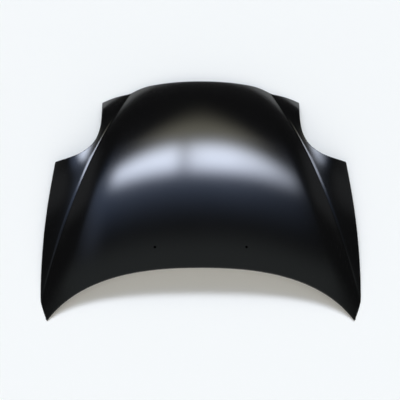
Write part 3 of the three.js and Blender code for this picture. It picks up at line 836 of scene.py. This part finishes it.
class BONNET_OT_striker(bpy.types.Operator):
    """Builds the striker: its reinforcement, its base, the wire loop and the welds round the wire's feet"""

    bl_idname = "bonnet.striker"
    bl_label = "Striker"

    def execute(self, context):
        sizes = context.scene.bonnet_fasteners
        bm = bmesh.new()
        add_rectangle(bm, STRIKER_SEAT[0] - PLATE_MARGIN, STRIKER_SEAT[1] - PLATE_MARGIN, SEAT_ROUND)
        raise_plate(bm, INNER + SHEET_GAP, INNER + SHEET_GAP + STRIKER_PLATE, PLATE_EDGE)
        finish_on_seat("striker_backing", bm, STRIKER_FRAME, "striker_reinforcement")
        width, length, thickness = (value / MM for value in sizes.striker_base)
        under = STRIKER_TOP - thickness
        bm = bmesh.new()
        add_rectangle(bm, width, length, STRIKER_ROUND)
        raise_plate(bm, under, STRIKER_TOP, FORGED_EDGE)
        finish_on_seat("striker_foot", bm, STRIKER_FRAME, "striker_base")
        wire, half, bend = sizes.wire / MM, sizes.striker_span / MM / 2, sizes.striker_bend / MM
        top = under - SHEET_GAP
        leg = sizes.striker_reach / MM - bend
        bm = bmesh.new()
        foot = Matrix.Translation((-half, 0.0, top))
        made = bmesh.ops.create_circle(bm, segments=WIRE_STEPS, radius=wire, matrix=foot)["verts"]
        ring = list({e for v in made for e in v.link_edges})
        ring = extend_ring(bm, ring, (0.0, 0.0, -leg))
        ring = bend_ring(bm, ring, (bend - half, 0.0, top - leg))
        ring = extend_ring(bm, ring, (2 * (half - bend), 0.0, 0.0))
        ring = bend_ring(bm, ring, (half - bend, 0.0, top - leg))
        extend_ring(bm, ring, (0.0, 0.0, leg))
        bmesh.ops.holes_fill(bm, edges=[e for e in bm.edges if e.is_boundary], sides=0)
        bmesh.ops.recalc_face_normals(bm, faces=bm.faces[:])
        loop = finish_on_seat("striker_wire", bm, STRIKER_FRAME, "striker_loop")
        for polygon in loop.data.polygons:
            polygon.use_smooth = len(polygon.vertices) == 4
        bm = bmesh.new()
        for side in (-1, 1):
            verts = [bm.verts.new((side * half + (wire + r), 0.0, under + z)) for r, z in WELD_OUTLINE]
            edges = [bm.edges.new(pair) for pair in zip(verts, verts[1:] + verts[:1])]
            bmesh.ops.spin(bm, geom=verts + edges, cent=(side * half, 0.0, 0.0), axis=(0.0, 0.0, 1.0),
                           angle=2 * math.pi, steps=WELD_STEPS, use_merge=True)
        bmesh.ops.recalc_face_normals(bm, faces=bm.faces[:])
        bmesh.ops.transform(bm, matrix=TO_FRAME @ STRIKER_FRAME, verts=bm.verts[:])
        finish_piece("striker_welds", bm, dip_primer())
        return {"FINISHED"}


BEAD_SEGMENTS = (28, 14)
BEAD_POWERS = (0.7, 0.8, 0.55)  # below one, they make the round bead squarer along its axes
LUMP = 0.12
LUMP_PER_BEAD = 0.1
LUMP_ON_BEAD = 1.7


class BONNET_OT_mastic(bpy.types.Operator):
    """Lays the anti-flutter mastic between the windows' lips and the skin"""

    bl_idname = "bonnet.mastic"
    bl_label = "Mastic"

    def execute(self, context):
        sizes = context.scene.bonnet_mastic
        nodes = sorted(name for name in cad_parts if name.startswith("mastic_pad"))
        bm = bmesh.new()
        for name in nodes:
            low, high = (Vector(corner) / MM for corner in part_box(name))
            middle, span = (low + high) / 2, high - low
            x, y = middle.x, middle.y - FRAME_Y
            turn = math.pi / 2 if span.y > span.x else 0.0
            if turn:
                turn += math.atan(x / style_line(y) * (LINE_SLOPE + y / LINE_BEND_RADIUS))
            u, v = BEAD_SEGMENTS
            made = bmesh.ops.create_uvsphere(bm, u_segments=u, v_segments=v, radius=1.0)["verts"]
            for vert in made:
                squared = [math.copysign(abs(c) ** power, c) for c, power in zip(vert.co, BEAD_POWERS)]
                lump = 1 + LUMP * noise.noise(Vector((x, y, 0.0)) * LUMP_PER_BEAD + vert.co * LUMP_ON_BEAD)
                along = squared[0] * lump * sizes.length / MM / 2
                across = squared[1] * lump * sizes.width / MM / 2
                px = x + along * math.cos(turn) - across * math.sin(turn)
                py = y + along * math.sin(turn) + across * math.cos(turn)
                vert.co = placed(px, py, sizes.depth / MM - squared[2] * sizes.thickness / MM / 2)
        bmesh.ops.recalc_face_normals(bm, faces=bm.faces[:])
        piece = finish_piece("mastic_beads", bm, mastic_rubber())
        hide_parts(*nodes)
        return {"FINISHED"}


# Stage


FLOOR_WHITE = "fffdf5"
FLOOR_HALF = 120.0  # metres, so that its end stays out of a low view
SOFTBOX_WHITE = "e3ecff"
SOFTBOX_RADIANCE = 14.1

# The studio's lights: colour, radiance, whether it fades to the right, and the bands of directions that it
# lies within. A band has a value of the direction, its two limits, and half of the width of its soft ends.
OPEN_LOW, OPEN_HIGH = -2.0, 2.0  # limits past every direction
FRONT_BOW = 0.12  # of the softboxes' long sides, by the square of X
BACK_BOW = 0.5
WEDGE_SLOPE = 1.15  # how fast the warm glow narrows towards the horizon
FADE_START, FADE_END, FADE_REST = 0.12, 0.55, 0.35
UP = ("z", 0.0, OPEN_HIGH, 0.02)
BOX_FRONT = ("bowed", 0.415, OPEN_HIGH, 0.07)
BOX_BACK = ("arched", OPEN_LOW, 0.585, 0.065)
STUDIO = (
    # the two softboxes, left and right
    (SOFTBOX_WHITE, SOFTBOX_RADIANCE, False, (UP, BOX_FRONT, BOX_BACK, ("x", -0.5, -0.085, 0.05))),
    (SOFTBOX_WHITE, SOFTBOX_RADIANCE, True, (UP, BOX_FRONT, BOX_BACK, ("x", -0.045, 0.55, 0.05))),
    # a warm glow beyond them and their cool spill on this side
    ("fffbe0", 1.7, False, (UP, ("y", 0.55, 0.79, 0.2), ("wedge", OPEN_LOW, 1.01, 0.16))),
    ("aac8ff", 0.92, True, (UP, ("bowed", 0.26, 0.5, 0.18), ("aside", OPEN_LOW, 0.6, 0.08))),
    # the ceiling overhead, and a strip on the left
    ("e4f0f0", 0.24, False, (UP, ("y", -0.3, 0.03, 0.06), ("aside", OPEN_LOW, 0.75, 0.1))),
    ("ccdcff", 0.3, False, (UP, ("y", 0.05, 0.45, 0.06), ("x", -0.64, -0.54, 0.05))),
    # the half of the room behind the camera, and the foot of its walls
    ("fffdfa", 0.98, False, (UP, ("y", OPEN_LOW, -0.25, 0.15))),
    ("ffffff", 0.35, False, (("z", 0.0, 0.2, 0.06), ("y", OPEN_LOW, 0.35, 0.12))),
    # the walls on both sides, and the rest of the room
    ("eef2f8", 0.16, False, (UP, ("y", 0.34, 0.7, 0.07), ("aside", 0.7, OPEN_HIGH, 0.06))),
    ("ffffff", 0.03, False, (UP,)),
)


def look_along(camera, target, elevation, distance):
    back = Vector((0.0, -math.cos(elevation), math.sin(elevation)))
    camera.location = target + back * distance
    camera.rotation_euler = (math.pi / 2 - elevation, 0.0, 0.0)


def light_band(tree, value, low, high, soft):
    """One where a value lies between two limits, with soft ends."""
    rise = add_node(
        tree, "ShaderNodeMapRange",
        {"interpolation_type": "SMOOTHSTEP", "From Min": low - soft, "From Max": low + soft},
        {"Value": value},
    )
    fall = add_node(
        tree, "ShaderNodeMapRange",
        {"interpolation_type": "SMOOTHSTEP", "From Min": high - soft, "From Max": high + soft,
         "To Min": 1.0, "To Max": 0.0},
        {"Value": value},
    )
    both = {0: rise.outputs[0], 1: fall.outputs[0]}
    return add_node(tree, "ShaderNodeMath", {"operation": "MULTIPLY"}, both).outputs[0]


def direction_values(tree):
    """What the bands are laid over: a direction's parts, and sums of them that bend or slant a band."""
    way = add_node(tree, "ShaderNodeTexCoord").outputs["Generated"]
    x, y, z = add_node(tree, "ShaderNodeSeparateXYZ", links={"Vector": way}).outputs
    squared = add_node(tree, "ShaderNodeMath", {"operation": "MULTIPLY"}, {0: x, 1: x}).outputs[0]
    aside = add_node(tree, "ShaderNodeMath", {"operation": "ABSOLUTE"}, {0: x}).outputs[0]
    values = {"x": x, "y": y, "z": z, "aside": aside}
    for name, value, factor, added in (
        ("bowed", squared, FRONT_BOW, y), ("arched", squared, BACK_BOW, y), ("wedge", y, WEDGE_SLOPE, aside),
    ):
        total = add_node(
            tree, "ShaderNodeMath", {"operation": "MULTIPLY_ADD", 1: factor}, {0: value, 2: added}
        )
        values[name] = total.outputs[0]
    return values


def studio_world():
    """A dim room with two long softboxes side by side, forward of overhead, and the glow round them."""
    world = bpy.data.worlds.new("studio")
    world.use_nodes = True
    tree = world.node_tree
    tree.nodes.clear()
    values = direction_values(tree)
    fade = add_node(
        tree, "ShaderNodeMapRange",
        {"From Min": FADE_START, "From Max": FADE_END, "To Min": 1.0, "To Max": FADE_REST},
        {"Value": values["x"]},
    ).outputs[0]
    made = {}
    total = None
    for colour, radiance, fades, bands in STUDIO:
        for band in bands:
            if band not in made:
                made[band] = light_band(tree, values[band[0]], *band[1:])
        factors = [made[band] for band in bands]
        if fades:
            factors.append(fade)
        strength = add_node(
            tree, "ShaderNodeMath", {"operation": "MULTIPLY", 1: radiance}, {0: factors[0]}
        ).outputs[0]
        for factor in factors[1:]:
            both = {0: strength, 1: factor}
            strength = add_node(tree, "ShaderNodeMath", {"operation": "MULTIPLY"}, both).outputs[0]
        light = add_node(
            tree, "ShaderNodeBackground", {"Color": to_linear(colour)}, {"Strength": strength}
        )
        if total is None:
            total = light.outputs[0]
        else:
            total = add_node(tree, "ShaderNodeAddShader", links={0: total, 1: light.outputs[0]}).outputs[0]
    add_node(tree, "ShaderNodeOutputWorld", links={"Surface": total})
    return world


class BONNET_OT_stage(bpy.types.Operator):
    """Lays the pale floor and sets up the soft studio light and the camera"""

    bl_idname = "bonnet.stage"
    bl_label = "Stage"

    def execute(self, context):
        bm = bmesh.new()
        bmesh.ops.create_grid(bm, x_segments=1, y_segments=1, size=FLOOR_HALF)
        mesh = bpy.data.meshes.new("floor")
        bm.to_mesh(mesh)
        bm.free()
        floor = bpy.data.objects.new("floor", mesh)
        context.scene.collection.objects.link(floor)
        # Matt white floor: an even, pale ground that keeps a soft shadow
        white = new_material("matt_white_floor")
        tree = white.node_tree
        matt = add_node(tree, "ShaderNodeBsdfDiffuse", {"Color": to_linear(FLOOR_WHITE)})
        add_node(tree, "ShaderNodeOutputMaterial", links={"Surface": matt.outputs[0]})
        mesh.materials.append(white)
        context.scene.world = studio_world()
        view = context.scene.view_settings
        view.view_transform = "Standard"
        lens = bpy.data.cameras.new("photo_camera")
        lens.sensor_width = SENSOR_WIDTH
        lens.lens = SENSOR_WIDTH * PHOTO_FOCAL_PIXELS / PHOTO_SIZE
        lens.shift_x = (PHOTO_SIZE / 2 - PHOTO_CENTRE_X) / PHOTO_SIZE
        camera = bpy.data.objects.new("photo_camera", lens)
        context.scene.collection.objects.link(camera)
        x, y, z = PHOTO_TARGET
        target = Vector((x, y + FRAME_Y, z + FLOOR_CLEARANCE)) * MM
        look_along(camera, target, math.radians(PHOTO_ELEVATION), PHOTO_DISTANCE * MM)
        context.scene.camera = camera
        return {"FINISHED"}


class BONNET_PT_panel(bpy.types.Panel):
    bl_idname = "BONNET_PT_panel"
    bl_label = "Bonnet"
    bl_space_type = "VIEW_3D"
    bl_region_type = "UI"
    bl_category = "Bonnet"

    def draw(self, context):
        for operator in OPERATORS:
            self.layout.operator(operator.bl_idname)


OPERATORS = (
    BONNET_OT_outer_skin, BONNET_OT_inner_panel, BONNET_OT_hinge_plates, BONNET_OT_striker, BONNET_OT_mastic,
    BONNET_OT_stage,
)
SETTINGS = {
    "bonnet_skin": BonnetSkinSettings,
    "bonnet_panel": BonnetPanelSettings,
    "bonnet_fasteners": BonnetFastenerSettings,
    "bonnet_mastic": BonnetMasticSettings,
}
CLASSES = (*SETTINGS.values(), *OPERATORS, BONNET_PT_panel)


def register():
    for cls in CLASSES:
        bpy.utils.register_class(cls)
    for name, settings in SETTINGS.items():
        setattr(bpy.types.Scene, name, PointerProperty(type=settings))


def unregister():
    for name in SETTINGS:
        delattr(bpy.types.Scene, name)
    for cls in reversed(CLASSES):
        bpy.utils.unregister_class(cls)


def main():
    register()
    bpy.ops.bonnet.outer_skin()
    bpy.ops.bonnet.inner_panel()
    bpy.ops.bonnet.hinge_plates()
    bpy.ops.bonnet.striker()
    bpy.ops.bonnet.mastic()
    bpy.ops.bonnet.stage()


if __name__ == "__main__":
    main()
